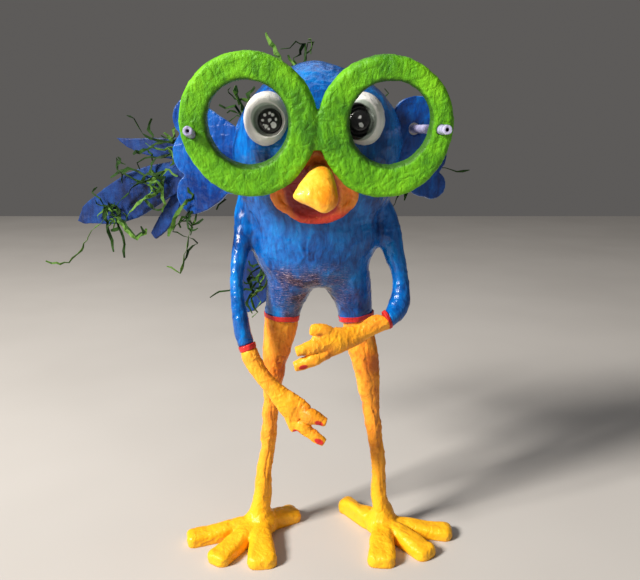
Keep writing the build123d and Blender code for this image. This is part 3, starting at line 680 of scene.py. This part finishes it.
def make_hand(name, side):
    hand = pasted(copy_of("hand_skin_" + name, ["hand_" + name]), voxel=0.65, times=7)
    crumple(hand, lumps=0.6, lump_size=9, folds=0.45, fold_size=5, seed=31 + side)
    coords = coords_of(hand)
    mm = figure_mm(coords)
    swell = sum(ball_mask(mm, place, radius, soft=0.8) * by for place, radius, by in KNUCKLES[name])
    coords += normals_of(hand) * (swell * MM)[:, None]
    set_coords(hand, coords)
    if name == "left":
        # the wrist reaches up to the narrower cuff
        wrist = ramped(coords[:, 0], coords[:, 0].max() - 8 * MM, coords[:, 0].max() - 2 * MM)
        coords += np.outer(wrist * 3 * MM, TOWARDS_ELBOW)
        set_coords(hand, coords)
    mm = figure_mm(coords)
    facing = normals_of(hand)[:, 1] < 0.1
    paint_mask(hand, "nail", oval_marks(mm, NAILS[name], sharp=0.85) * facing)
    # painted shade: dark brown in the hollows of the left hand
    paint_mask(hand, "dark", oval_marks(mm, SHADE_OVALS[name], sharp=0.2) * facing)
    paint_mask(hand, "yellow", patchy(mm, scale=0.09, seed=4, middle=0.35, spread=0.4))
    settle(hand, "bird", ["hand_" + name], ORANGE)


# ---------------------------------------------------------------- face


def pupil_middle(name):
    low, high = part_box("pupil_" + name)
    return (low + high) / 2


# Pale marks on each pupil: (right, up, radius) in mm from its middle. The left pupil's two are dots
# painted on it; the right pupil's many are painted reflections of its sparkling gloss.
PUPIL_DOTS_AND_REFLECTIONS = {
    "left": [(0.2, 3.0, 1.2), (1.4, -3.2, 1.9)],
    "right": [(3.4, -3.4, 2.3), (0.3, 0.8, 1.5), (-3.5, 4.2, 1.2), (2.8, 4.6, 1.0), (-5.2, 0.5, 0.9),
              (-2.6, -4.4, 1.2), (5.6, 1.2, 0.9), (0.2, 6.0, 0.7), (-0.8, -6.4, 0.8), (-4.6, -3.0, 0.7)],
}
# Paint round each pupil, as ovals in mm from its middle: (right, up, half width, half height)
IRIS = {"left": (1.0, 0.5, 13.0, 16.5), "right": (-2.4, 2.0, 12.6, 12.4)}
WELL = {"left": (-2.5, -0.5, 11.5, 15.0), "right": (0.3, -0.3, 10.4, 10.4)}


def make_eye(name, side):
    eye = pasted(copy_of("eye_cup_" + name, ["eye_" + name]), voxel=0.55, times=5)
    crumple(eye, lumps=0.5, lump_size=12, folds=0.25, fold_size=6, seed=41 + side)
    coords = coords_of(eye)
    middle = pupil_middle(name)
    dx, dz = (coords[:, 0] - middle.x) / MM, (coords[:, 2] - middle.z) / MM
    for mask, ovals in (("iris", IRIS), ("well", WELL)):
        right, up, wide, tall = ovals[name]
        paint_mask(eye, mask, ramped(np.hypot((dx - right) / wide, (dz - up) / tall), 1.03, 0.97))
    settle(eye, "bird", ["eye_" + name], WHITE)


def make_pupil(name):
    pupil = pasted(copy_of("pupil_dome_" + name, ["pupil_" + name]), voxel=0.28, times=5)
    coords = coords_of(pupil)
    middle = pupil_middle(name)
    wobble = value_noise(coords, scale=700, seed=6) * 0.8 * MM
    mask = np.zeros(len(coords))
    for right, up, radius in PUPIL_DOTS_AND_REFLECTIONS[name]:
        gap = np.hypot(coords[:, 0] - middle.x - right * MM, coords[:, 2] - middle.z - up * MM) + wobble
        mask = np.maximum(mask, ramped(gap / MM, radius + 0.3, radius))
    paint_mask(pupil, "dot_and_reflection", mask)
    settle(pupil, "bird", ["pupil_" + name], BLACK)


# The bill's rings, from the brow to the tip, as ring_loft takes them
BEAK_RINGS = [
    (-1, -54, 377, 8, 8, 8, 20),
    (0, -66, 375.5, 8.5, 8.5, 8, 26),
    (1, -76, 373, 11.5, 11, 10, 38),
    (1, -85, 365.5, 18, 13.5, 10, 50),
    (1.5, -91.5, 357.5, 22.5, 14.5, 8.5, 58),
    (3, -95.0, 352, 13, 11.5, 6, 64),
    (4, -96.5, 347.5, 5, 5, 3, 68),
    (4, -96.8, 346.2, 1.5, 1.5, 1, 70),
]


def make_beak():
    """Nose-like bill: narrow ridge at the top, a lobe that bulges to the bird's right, a blunt tip."""
    beak = pasted(ring_loft("bill", BEAK_RINGS), voxel=0.7, times=6)
    crumple(beak, lumps=0.7, lump_size=13, folds=0.3, fold_size=7, seed=71)
    mm = figure_mm(coords_of(beak))
    # painted shade: the flank towards +x, away from the key light, is painted darker orange; the top of
    # the bill is also darker, at half strength
    paint_mask(beak, "side", ramped(mm[:, 0], 9, 14) + ramped(mm[:, 2], 379, 384) * 0.5)
    settle(beak, "bird", ["beak"], BEAK)


# Middle of the mouth's bowl as x and z, and how deep and how wide the bowl is (mm)
MOUTH_X = -3.5
MOUTH_Z = 364.5
BOWL_DEPTH = 5
BOWL_RADIUS = 27


def make_mouth():
    """Lip and mouth lining are one pasted bowl: orange at the top and sides, red painted shade along the
    lower edge, maroon inside.
    """
    mouth = pasted(copy_of("mouth_bowl", ["lip", "mouth"], {"mouth": 0.7}), voxel=0.65, times=8)
    coords = coords_of(mouth)
    mm = figure_mm(coords)
    # across and up from the middle of the bowl
    u, v = mm[:, 0] - MOUTH_X, mm[:, 2] - MOUTH_Z
    # fuller lower corners
    turn = np.degrees(np.arctan2(v + 6, u - 4))
    full = 0.13 * np.exp(-((turn + 128) / 20) ** 2) + 0.08 * np.exp(-((turn + 50) / 20) ** 2)
    coords[:, 0] += full * (u - 4) * MM
    coords[:, 2] += full * (v + 6) * MM
    # the lining comes forward to a shallow bowl inside the lip
    forward = np.array([0, -math.cos(MOUTH_LEAN), -math.sin(MOUTH_LEAN)])
    depth = mm @ forward
    facing = normals_of(mouth) @ forward > 0.15
    crest = np.percentile(depth[facing], 95)
    spread = np.hypot(u * 0.98, (v + 4) * 1.12)
    bowl = crest - BOWL_DEPTH * (1 - np.clip(spread / BOWL_RADIUS, 0, 1) ** 2)
    lift = np.clip(bowl - depth, 0, 20) * ramped(spread, 28, 25) * facing
    set_coords(mouth, coords + np.outer(lift * MM, forward))
    relax(mouth, times=25)
    crumple(mouth, lumps=0.7, lump_size=10, folds=0.4, fold_size=6, seed=72)
    edge = 26 - 5 * ramped(u, 4, 18) * ramped(v, -22, -8) + value_noise(mm, scale=0.2, seed=8) * 1.2
    inside = ramped(spread, edge + 2.5, edge - 1.5)
    paint_mask(mouth, "maroon", inside * ramped(v, 24, 15))
    # painted shade: the lip's lower edge is painted red, except towards its left end
    paint_mask(mouth, "lip_underside_shade", ramped(v, -16, -24) * ramped(u, -26, -12) * (1 - inside * 0.4))
    settle(mouth, "bird", ["lip", "mouth"], LIP)


def make_ear(name, side):
    ear = pasted(copy_of("ear_card_" + name, ["ear_" + name]), voxel=0.85, times=4)
    crumple(ear, lumps=0.9, lump_size=18, folds=0.4, fold_size=8, seed=51 + side)
    rim = ramped(np.abs(normals_of(ear)[:, 1]), 0.7, 0.35)
    paint_mask(ear, "edge", rim * patchy(coords_of(ear), scale=90, seed=9, middle=0.5))
    settle(ear, "bird", ["ear_" + name], EAR_BLUE)


# ---------------------------------------------------------------- spectacles


# Sideways from a lens's middle, what belongs to its own ring ends at the first of these
# distances and is whole within the second (mm)
RING_FADE = (52, 34)
# Nearer than this to a lens's middle, the skin belongs to the wall of its hole (mm)
HOLE_REACH = 45


def make_rims():
    rims = pasted(copy_of("rims", ["glasses_frame"]), voxel=0.95, times=5)
    coords = coords_of(rims)
    forward = np.array([0, -math.cos(LENS_LEAN), -math.sin(LENS_LEAN)])
    upward = np.array([0, -math.sin(LENS_LEAN), math.cos(LENS_LEAN)])
    # each ring is a little taller below its middle than a true circle
    for middle in LENS_MIDDLES:
        away = figure_mm(coords) - np.array(middle)
        up = away @ upward
        near = ramped(np.abs(away[:, 0]), *RING_FADE)
        coords += np.outer(np.minimum(up, 0) * near * 0.07 * MM, upward)
    set_coords(rims, coords)
    crumple(rims, lumps=0.5, lump_size=26, folds=0.45, fold_size=6, seed=81)
    coords = coords_of(rims)
    normals = normals_of(rims)
    hole_wall_shade, bare = np.zeros(len(coords)), np.zeros(len(coords))
    for middle in LENS_MIDDLES:
        away = figure_mm(coords) - np.array(middle)
        up, front = away @ upward, away @ forward
        radius = np.hypot(away[:, 0], up)
        outward = (normals[:, 0] * away[:, 0] + (normals @ upward) * up) / radius
        in_hole = radius < HOLE_REACH
        # painted shade: the inner wall of the hole is painted dark green
        hole_wall_shade = np.maximum(hole_wall_shade, ramped(outward, -0.35, -0.7) * in_hole)
        # unpainted paper shows along the hole's back edge
        back = np.percentile(front[in_hole], 2)
        rim_edge = ramped(outward, -0.2, -0.5) * in_hole
        bare = np.maximum(bare, rim_edge * ramped(front, back + 2.8, back + 2.0))
    paint_mask(rims, "hole_wall_shade", hole_wall_shade)
    paint_mask(rims, "bare", bare)
    settle(rims, "glasses", ["glasses_frame"], LIME)


def make_rod(name, side):
    rod = pasted(copy_of("rod_" + name, ["temple_rod_" + name]), voxel=0.4, times=3)
    crumple(rod, lumps=0.25, lump_size=9, folds=0.2, fold_size=4, seed=61 + side)
    coords = coords_of(rod)
    ends = []
    for limit in (coords[:, 1].min(), coords[:, 1].max()):
        ends.append(coords[np.abs(coords[:, 1] - limit) < 1.5 * MM].mean(0))
    run = (ends[1] - ends[0]) / np.linalg.norm(ends[1] - ends[0])
    off_axis = np.linalg.norm(np.cross(coords - ends[0], run), axis=1)
    # painted shade: dark inside the rod's bore
    paint_mask(rod, "bore_shade", ramped(off_axis, 2.0 * MM, 1.5 * MM))
    settle(rod, "glasses", ["temple_rod_" + name], LAVENDER)


# ---------------------------------------------------------------- feathers


# Each card stands on a line seen from above, given by its root and its tip as (x, y).
# Then comes its hand-cut, uneven outline as (x, z).
FEATHERS = {
    "feather_large": [
        (-35, 27), (-267, 112),
        [(-36, 389), (-90, 391), (-142, 384), (-180, 377), (-206, 368), (-232, 353), (-254, 338),
         (-263, 331), (-270, 315), (-262, 312), (-220, 314), (-196, 321), (-165, 339), (-142, 353),
         (-100, 368), (-36, 381)]],
    "feather_upper": [
        (-30, 28), (-219, 104),
        [(-31, 411), (-90, 409), (-150, 406), (-200, 405), (-219, 406), (-206, 396), (-192, 390),
         (-170, 385), (-145, 384), (-90, 392), (-31, 402)]],
    "feather_lower": [
        (-116, 58.5), (-184, 100),
        [(-119, 384), (-136, 370), (-154, 350), (-166, 333), (-179, 313), (-185, 303), (-180, 297),
         (-166, 307), (-154, 322), (-143, 345), (-126, 366), (-117, 376)]],
    "feather_hanging": [
        (-28, 20), (-77, 78),
        [(-29, 326), (-50, 313), (-71, 296), (-82, 270), (-84, 240), (-80, 217), (-71, 222),
         (-56, 238), (-40, 272), (-28, 316)]],
}
CARD_HALF_THICK = 1.5


def make_feather(label, seed):
    """Cut card: the outline thickened, then warped a little."""
    root, tip, outline = FEATHERS[label]
    slope = (tip[1] - root[1]) / (tip[0] - root[0])
    across = np.array([-slope, 1]) / math.hypot(slope, 1) * CARD_HALF_THICK
    verts, faces = [], []
    for way in (-1, 1):
        for x, z in outline:
            y = root[1] + slope * (x - root[0])
            verts.append(at(x + way * across[0], y + way * across[1], z))
    count = len(outline)
    faces.append(tuple(range(count)))
    faces.append(tuple(range(2 * count - 1, count - 1, -1)))
    faces += [(i, i + count, (i + 1) % count + count, (i + 1) % count) for i in range(count)]
    card = pasted(mesh_object(label + "_card", verts, faces), voxel=0.7, times=3)
    coords = coords_of(card)
    coords[:, 1] += value_noise(coords, scale=22, seed=seed) * 2.0 * MM
    set_coords(card, coords)
    crumple(card, lumps=0.7, lump_size=22, folds=0.35, fold_size=9, seed=seed)
    rim = ramped(np.abs(normals_of(card)[:, 1]), 0.6, 0.3)
    paint_mask(card, "edge", rim * patchy(coords, scale=90, seed=9, middle=0.4))
    settle(card, "bird", [label], CARD_BLUE_AND_SHADE)


# ---------------------------------------------------------------- paper shred

# Each bunch: its knot, then strips as (tone, width, bends after the knot),
# then how many short curls lie round it
BUNCHES = {
    "tuft_crest": [(-22, 31.5, 455), [
        ("light", 4.4, [(-36, 38, 476), (-43, 40, 490), (-51, 42, 503)]),
        ("dark", 2.2, [(-13, 40, 478), (-13, 42, 493), (-22, 41, 495), (-28, 41, 489), (-37, 40, 488)]),
        ("dark", 2.0, [(-12, 44, 480), (-11, 43, 494), (-5, 42, 495), (-8, 42, 484)]),
        ("light", 2.4, [(-24, 40, 474), (-30, 48, 484)]),
        ("dark", 2.4, [(-32, 40, 470), (-50, 50, 478), (-58, 56, 470)]),
        ("dark", 2.4, [(-18, 52, 472), (-24, 70, 480), (-34, 82, 470)])], 5],
    "tuft_nape": [(-48, 42.5, 424), [
        ("light", 4.6, [(-70, 44, 428), (-79, 45, 442), (-81, 45, 455)]),
        ("dark", 3.6, [(-66, 46, 436), (-70, 46, 447), (-63, 46, 454)]),
        ("dark", 3.2, [(-76, 44, 426), (-82, 42, 436), (-92, 45, 434), (-98, 46, 437)]),
        ("dark", 2.6, [(-66, 56, 420), (-84, 70, 428), (-100, 76, 420)])], 11],
    "tuft_left_ear": [(57, 40.5, 388), [
        ("light", 3.4, [(74, 42, 420), (62, 45, 436), (48, 45, 450)]),
        ("dark", 1.8, [(66, 45, 428), (60, 45, 442), (68, 45, 448), (64, 45, 452)]),
        ("dark", 2.4, [(92, 48, 386), (120, 46, 376), (138, 45, 372), (151, 45, 374)]),
        ("dark", 2.2, [(76, 42, 366), (80, 38, 350), (76, 36, 341), (71, 36, 335)]),
        ("light", 2.2, [(80, 40, 372), (90, 42, 354), (86, 40, 344)])], 6],
    "tuft_tail_upper": [(-126.6, 60.9, 397), [
        ("dark", 2.6, [(-150, 64, 400), (-171, 68, 404), (-182, 72, 410), (-187, 74, 418),
                       (-191, 75, 425), (-199, 78, 428)]),
        ("dark", 3.0, [(-150, 64, 402), (-168, 69, 400), (-182, 73, 393), (-194, 76, 389)]),
        ("light", 2.2, [(-148, 64, 396), (-164, 68, 394), (-180, 74, 400)]),
        ("dark", 2.4, [(-152, 64, 388), (-168, 68, 385), (-174, 70, 379), (-177, 71, 371)]),
        ("dark", 2.0, [(-158, 66, 386), (-181, 72, 385), (-190, 75, 380), (-188, 75, 373)])], 12],
    "tuft_tail_middle": [(-165, 67.6, 351.5), [
        ("dark", 3.4, [(-158, 62, 366), (-172, 68, 366), (-190, 74, 359), (-205, 79, 346),
                       (-217, 83, 335)]),
        ("dark", 3.0, [(-160, 62, 372), (-182, 72, 367), (-197, 76, 374), (-213, 82, 370),
                       (-222, 85, 364)]),
        ("dark", 1.8, [(-200, 78, 366), (-213, 82, 372), (-214, 83, 385), (-204, 80, 378)]),
        ("light", 2.8, [(-176, 66, 358), (-168, 64, 362), (-162, 63, 355), (-163, 63, 345),
                        (-160, 62, 338), (-164, 63, 330)]),
        ("light", 3.4, [(-181, 70, 345), (-193, 75, 337), (-202, 78, 328), (-207, 80, 321)])], 14],
    "tuft_tail_tip": [(-233.9, 94, 333), [
        ("dark", 2.8, [(-218, 84, 334), (-214, 82, 320), (-207, 80, 312), (-197, 77, 302),
                       (-187, 74, 308), (-190, 74, 314)]),
        ("light", 3.8, [(-218, 84, 330), (-215, 82, 318), (-204, 79, 306), (-195, 77, 300),
                        (-184, 73, 311)]),
        ("dark", 3.2, [(-232, 88, 320), (-229, 87, 306), (-226, 87, 296), (-225, 87, 284)]),
        ("dark", 2.8, [(-218, 84, 322), (-212, 82, 301), (-212, 82, 278)]),
        ("light", 2.6, [(-228, 86, 324), (-241, 84, 312), (-249, 80, 301), (-257, 78, 287),
                        (-266, 75, 279), (-270, 74, 274), (-287, 71, 274), (-293, 70, 277)]),
        ("dark", 1.8, [(-236, 88, 342), (-245, 92, 348), (-239, 90, 354)])], 12],
    "tuft_right_ear": [(-116.3, 23.5, 348), [
        ("light", 4.0, [(-128, 14, 346), (-137, 14, 334), (-143, 16, 321), (-148, 17, 311)]),
        ("dark", 2.4, [(-126, 14, 332), (-123, 15, 322), (-113, 16, 328)]),
        ("dark", 3.2, [(-134, 14, 326), (-143, 15, 316), (-128, 15, 310), (-119, 15, 304),
                       (-129, 16, 297), (-134, 16, 285)]),
        ("light", 2.8, [(-130, 15, 298), (-134, 16, 285), (-138, 17, 274), (-151, 18, 281)]),
        ("dark", 2.0, [(-130, 14, 330), (-124, 15, 320), (-126, 16, 312)]),
        ("dark", 2.2, [(-104, 26, 346), (-92, 28, 346), (-99, 29, 341), (-102, 30, 336)])], 9],
    "tuft_hip": [(-48, 22, 282), [
        ("light", 2.6, [(-60, 34, 262), (-66, 36, 250), (-60, 37, 240), (-67, 38, 230)]),
        ("dark", 3.0, [(-58, 32, 270), (-70, 36, 262), (-64, 38, 248), (-72, 40, 238)]),
        ("dark", 2.0, [(-70, 30, 254), (-92, 31, 253), (-102, 31, 252), (-112, 31, 246)]),
        ("light", 2.8, [(-56, 34, 256), (-70, 38, 244), (-64, 40, 228), (-70, 41, 222)]),
        ("dark", 3.4, [(-62, 34, 276), (-74, 38, 264), (-68, 40, 250), (-76, 42, 236),
                       (-70, 42, 226)])], 15],
}
STRIP_HALF_THICK = 0.16
# Slope, seen from above, of the card behind the tail's bunches
CARD_SLOPE = -0.37


def kinked(points, rng):
    """Points along the bends with uneven little folds between them."""
    path = [Vector(points[0])]
    for start, end in zip(points, points[1:]):
        start, end = Vector(start), Vector(end)
        run = end - start
        steps = max(1, round(run.length / rng.uniform(4.5, 8.0)))
        for step in range(1, steps + 1):
            sway = Vector([rng.uniform(-1, 1) for _ in range(3)]) * (1.5 if step < steps else 0.3)
            path.append(start + run * (step / steps) + sway)
    return path


def curl(start, rng, flat):
    """A short random walk that stays near its bunch, hugging the card behind it if there is one."""
    heading = rng.uniform(0, 2 * math.pi)
    path = [Vector(start)]
    for _ in range(rng.randint(3, 6)):
        heading += rng.uniform(-1.2, 1.2)
        length = rng.uniform(2.5, 5.0)
        depth = rng.uniform(-0.5, 0.5) if flat else rng.uniform(-2.5, 2.5)
        step = Vector((math.cos(heading) * length, 0, math.sin(heading) * length))
        step.y = (CARD_SLOPE * step.x if flat else 0) + depth
        path.append(path[-1] + step)
    return path


def strip(verts, faces, path, width, rng):
    """Twisted paper ribbon along a path in the figure's millimetres, narrower at its ends."""
    first = len(verts)
    twist = rng.uniform(-0.6, 0.6)
    for i, place in enumerate(path):
        ahead = path[min(i + 1, len(path) - 1)] - path[max(i - 1, 0)]
        ahead.normalize()
        across = ahead.cross(Vector((0, 1, 0)))
        across = across.normalized() if across.length > 0.05 else Vector((1, 0, 0))
        depth = across.cross(ahead).normalized()
        twist += rng.uniform(-0.6, 0.6)
        end_share = min(1, 0.55 + 0.45 * min(i, len(path) - 1 - i))
        half = (across * math.cos(twist) + depth * math.sin(twist)) * width / 2
        half = half * rng.uniform(0.6, 1.4) * end_share
        thin = ahead.cross(half).normalized() * STRIP_HALF_THICK
        for corner in (-half - thin, half - thin, half + thin, -half + thin):
            verts.append(at(*(place + corner)))
    for i in range(len(path) - 1):
        a = first + i * 4
        faces += [(a + j, a + (j + 1) % 4, a + 4 + (j + 1) % 4, a + 4 + j) for j in range(4)]
    last = first + (len(path) - 1) * 4
    faces.append((first + 3, first + 2, first + 1, first))
    faces.append((last, last + 1, last + 2, last + 3))


def make_bunch(label, seed):
    """Strips and short curls of green shred glued on at one knot."""
    knot, strips, curls = BUNCHES[label]
    rng = random.Random(seed)
    flat = "tail" in label
    made = {"dark": ([], []), "light": ([], [])}
    paths = []
    for tone, width, bends in strips:
        paths.append(kinked([knot] + bends, rng))
        strip(*made[tone], paths[-1], width, rng)
    for index in range(curls):
        path = paths[index % len(paths)]
        start = path[rng.randrange(len(path) * 3 // 4)]
        bends = curl(start, rng, flat)
        strip(*made["light" if index % 3 == 2 else "dark"], bends, rng.uniform(1.8, 3.6), rng)
    for tone, (verts, faces) in made.items():
        bunch = mesh_object(f"{label}_{tone}", verts, faces)
        bunch.data.materials.append(SHREDS[tone])
        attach(bunch, "bird")
        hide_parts(label)


# ---------------------------------------------------------------- studio


# Half the width of the floor, in metres
FLOOR_REACH = 3
# The lights look at this height (mm)
LIT_HEIGHT = 300
# Where the camera stands (mm), how far it looks down (degrees), and its sensor and lens (mm)
CAMERA_PLACE = (1, -627, 402)
CAMERA_DIP = 12.7
CAMERA_SENSOR = 36
CAMERA_LENS = 37.125


def make_floor():
    corners = [(x * FLOOR_REACH, y * FLOOR_REACH, 0) for x, y in ((-1, -1), (1, -1), (1, 1), (-1, 1))]
    floor = mesh_object("floor", corners, [(0, 1, 2, 3)])
    mat, tree, bsdf = new_material("floor_pale")
    coords = node(tree, "ShaderNodeTexCoord").outputs["Object"]
    cloud = fractal(tree, coords, scale=3, detail=2)
    tone = ramp(tree, cloud, [(0.3, (0.50, 0.485, 0.47)), (0.7, (0.54, 0.525, 0.51))])
    tree.links.new(tone, bsdf.inputs["Base Color"])
    bsdf.inputs["Roughness"].default_value = 0.8
    floor.data.materials.append(mat)


def area_light(name, place, size, power, colour):
    light = bpy.data.lights.new(name, "AREA")
    light.shape = "RECTANGLE"
    light.size, light.size_y = size
    light.energy = power
    light.color = colour
    obj = bpy.data.objects.new(name, light)
    bpy.context.scene.collection.objects.link(obj)
    obj.location = place
    obj.rotation_euler = (at(0, 0, LIT_HEIGHT) - place).to_track_quat("-Z", "Y").to_euler()


def make_studio():
    make_floor()
    world = bpy.data.worlds.new("soft_room")
    bpy.context.scene.world = world
    world.use_nodes = True
    background = world.node_tree.nodes["Background"]
    background.inputs["Color"].default_value = (0.42, 0.40, 0.385, 1)
    background.inputs["Strength"].default_value = 0.26
    area_light("key", at(-2300, -1450, 2000), size=(0.7, 0.8), power=215, colour=(1, 0.94, 0.86))
    area_light("fill", at(1300, -1100, 700), size=(1.2, 1.2), power=1.5, colour=(0.9, 0.95, 1))
    area_light("top", at(-200, 500, 1500), size=(1.0, 1.0), power=3, colour=(1, 1, 1))
    bpy.context.scene.view_settings.view_transform = "Standard"


def make_camera():
    camera = bpy.data.cameras.new("camera")
    camera.sensor_width = CAMERA_SENSOR
    camera.lens = CAMERA_LENS
    camera.clip_start = 0.01
    viewer = bpy.data.objects.new("camera", camera)
    bpy.context.scene.collection.objects.link(viewer)
    viewer.location = at(*CAMERA_PLACE)
    viewer.rotation_euler = (math.radians(90 - CAMERA_DIP), 0, 0)
    bpy.context.scene.camera = viewer


make_camera()
make_body()
for name, side in SIDES:
    make_hem(name)
    make_cuff(name)
    make_leg(name, side)
    make_hand(name, side)
    make_eye(name, side)
    make_pupil(name)
    make_ear(name, side)
    make_rod(name, side)
make_beak()
make_mouth()
make_rims()
for order, label in enumerate(FEATHERS):
    make_feather(label, seed=91 + order)
for order, label in enumerate(BUNCHES):
    make_bunch(label, seed=500 + order)

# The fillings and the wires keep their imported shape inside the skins
for label, obj in frame["nodes"].items():
    if label.endswith("_core") or "_wire_" in label:
        obj.data.materials.clear()
        obj.data.materials.append(NEWSPRINT if label.endswith("_core") else METAL)

make_studio()
